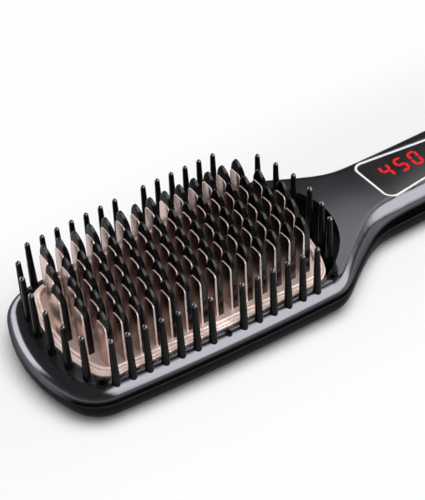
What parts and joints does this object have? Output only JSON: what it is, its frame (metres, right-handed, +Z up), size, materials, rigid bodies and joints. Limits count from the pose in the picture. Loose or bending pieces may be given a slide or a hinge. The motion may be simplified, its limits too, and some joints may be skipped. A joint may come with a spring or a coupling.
{
  "type": "hair straightening brush",
  "caption": "Heated paddle hair brush lying teeth up: staggered black teeth with rose-gold heat fins, guard pins, display panel with push buttons, swivel cord inlet.",
  "frame": {"origin": "on the rest plane, below the middle of the tooth field", "axes": "+X from the head to the handle's end, +Z up along the teeth, +Y to the back"},
  "size_m": [0.285, 0.0712, 0.0405],
  "materials": {
    "casing_graphite": "satin graphite lacquer",
    "casing_black": "satin black moulding",
    "rose_gold": "rose-gold coated aluminium",
    "nylon_black": "polished heat-proof nylon",
    "outlet_black": "matt black insert",
    "carrier": "glass-filled black moulding",
    "steel": "zinc-plated steel",
    "spring_steel": "rolled sheet",
    "ceramic": "white ceramic",
    "insulation": "pressed fibre sheet",
    "display_glass": "smoked gloss window",
    "silver_line": "bright silver-white inlay",
    "module_black": "moulded component",
    "board": "green circuit board",
    "button_black": "gloss black cap",
    "lead_sleeve": "silicone sleeve"
  },
  "bodies": {
    "brush": {"upper_casing": "casing_graphite", "lower_casing": "casing_black", "trim_ring": "rose_gold", "heat_plate": "rose_gold", "heat_fins": "rose_gold", "guard_pins": "nylon_black", "ion_outlets": "outlet_black", "rim_vents": "outlet_black", "plate_carrier": "carrier", "carrier_screws": "steel", "heater_front": "ceramic", "heater_back": "ceramic", "heater_clamp": "spring_steel", "insulation_sheet": "insulation", "thermistor": "ceramic", "thermal_fuse": "steel", "display_window": "display_glass", "display_frame": "silver_line", "display_module": "module_black", "control_board": "board", "tact_switches": "module_black", "ion_generator": "module_black", "heater_leads": "lead_sleeve", "supply_leads": "lead_sleeve", "contact_block": "carrier", "case_screws": "steel", "tooth_row_1": "nylon_black", "tooth_row_2": "nylon_black", "tooth_row_3": "nylon_black", "tooth_row_4": "nylon_black", "tooth_row_5": "nylon_black"},
    "minus_button": {"minus_button": "button_black"},
    "plus_button": {"plus_button": "button_black"},
    "power_button": {"power_button": "button_black"},
    "cord_swivel": {"cord_swivel": "casing_black"}
  },
  "joints": [
    {"name": "minus_press", "type": "slide", "parent": "brush", "child": "minus_button", "axis": [0, 0, -1], "range_m": [0, 0.0006], "stiffness_N_per_m": 1500},
    {"name": "plus_press", "type": "slide", "parent": "brush", "child": "plus_button", "axis": [0, 0, -1], "range_m": [0, 0.0006], "stiffness_N_per_m": 1500},
    {"name": "power_press", "type": "slide", "parent": "brush", "child": "power_button", "axis": [0, 0, -1], "range_m": [0, 0.0006], "stiffness_N_per_m": 1500},
    {"name": "swivel_turn", "type": "hinge", "parent": "brush", "child": "cord_swivel", "pos_m": [0.212, 0, 0.011], "axis": [1, 0, 0], "continuous": true}
  ]
}
